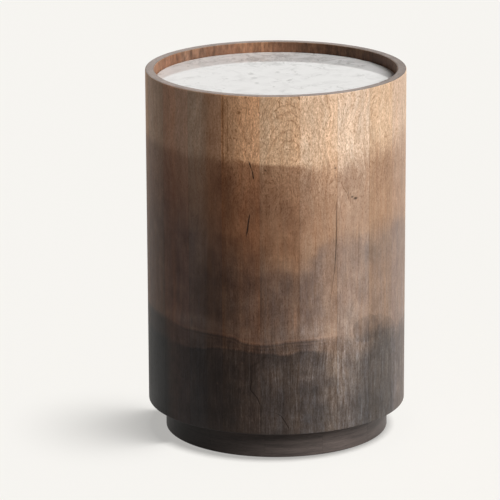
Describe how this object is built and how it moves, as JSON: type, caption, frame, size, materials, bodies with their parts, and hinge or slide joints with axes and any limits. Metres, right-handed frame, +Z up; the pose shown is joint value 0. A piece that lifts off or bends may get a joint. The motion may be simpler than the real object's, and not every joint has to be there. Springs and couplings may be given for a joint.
{
  "type": "drum side table",
  "caption": "Round drum side table of upright wood staves fading from tan to charcoal, with a marble disc let in below the rim and a set-back ring plinth.",
  "frame": {"origin": "on the floor, under the middle of the table", "axes": "+Z up along the drum's axis, -Y towards the front that the picture shows, +X to its right"},
  "size_m": [0.35, 0.35, 0.5],
  "materials": {
    "stave_wood": "satin, dip-dyed from tan at the rim to charcoal at the foot",
    "plinth_wood": "satin, stained charcoal",
    "board_ply": "sanded, unfinished",
    "marble": "polished, grey veining",
    "clear_pad": "clear, soft",
    "screw_steel": "zinc plated",
    "felt": "pressed felt"
  },
  "bodies": {
    "root": {"stave_01": "stave_wood", "stave_02": "stave_wood", "stave_03": "stave_wood", "stave_04": "stave_wood", "stave_05": "stave_wood", "stave_06": "stave_wood", "stave_07": "stave_wood", "stave_08": "stave_wood", "stave_09": "stave_wood", "stave_10": "stave_wood", "stave_11": "stave_wood", "stave_12": "stave_wood", "stave_13": "stave_wood", "stave_14": "stave_wood", "stave_15": "stave_wood", "stave_16": "stave_wood", "stave_17": "stave_wood", "stave_18": "stave_wood", "stave_19": "stave_wood", "stave_20": "stave_wood", "stave_21": "stave_wood", "stave_splines": "board_ply", "marble_top": "marble", "bedding_pads": "clear_pad", "sub_top": "board_ply", "bottom_board": "board_ply", "plinth_segment_01": "plinth_wood", "plinth_segment_02": "plinth_wood", "plinth_segment_03": "plinth_wood", "plinth_segment_04": "plinth_wood", "plinth_segment_05": "plinth_wood", "plinth_segment_06": "plinth_wood", "plinth_segment_07": "plinth_wood", "plinth_segment_08": "plinth_wood", "plinth_segment_09": "plinth_wood", "plinth_segment_10": "plinth_wood", "plinth_segment_11": "plinth_wood", "plinth_segment_12": "plinth_wood", "plinth_screws": "screw_steel", "felt_pads": "felt"}
  },
  "joints": []
}
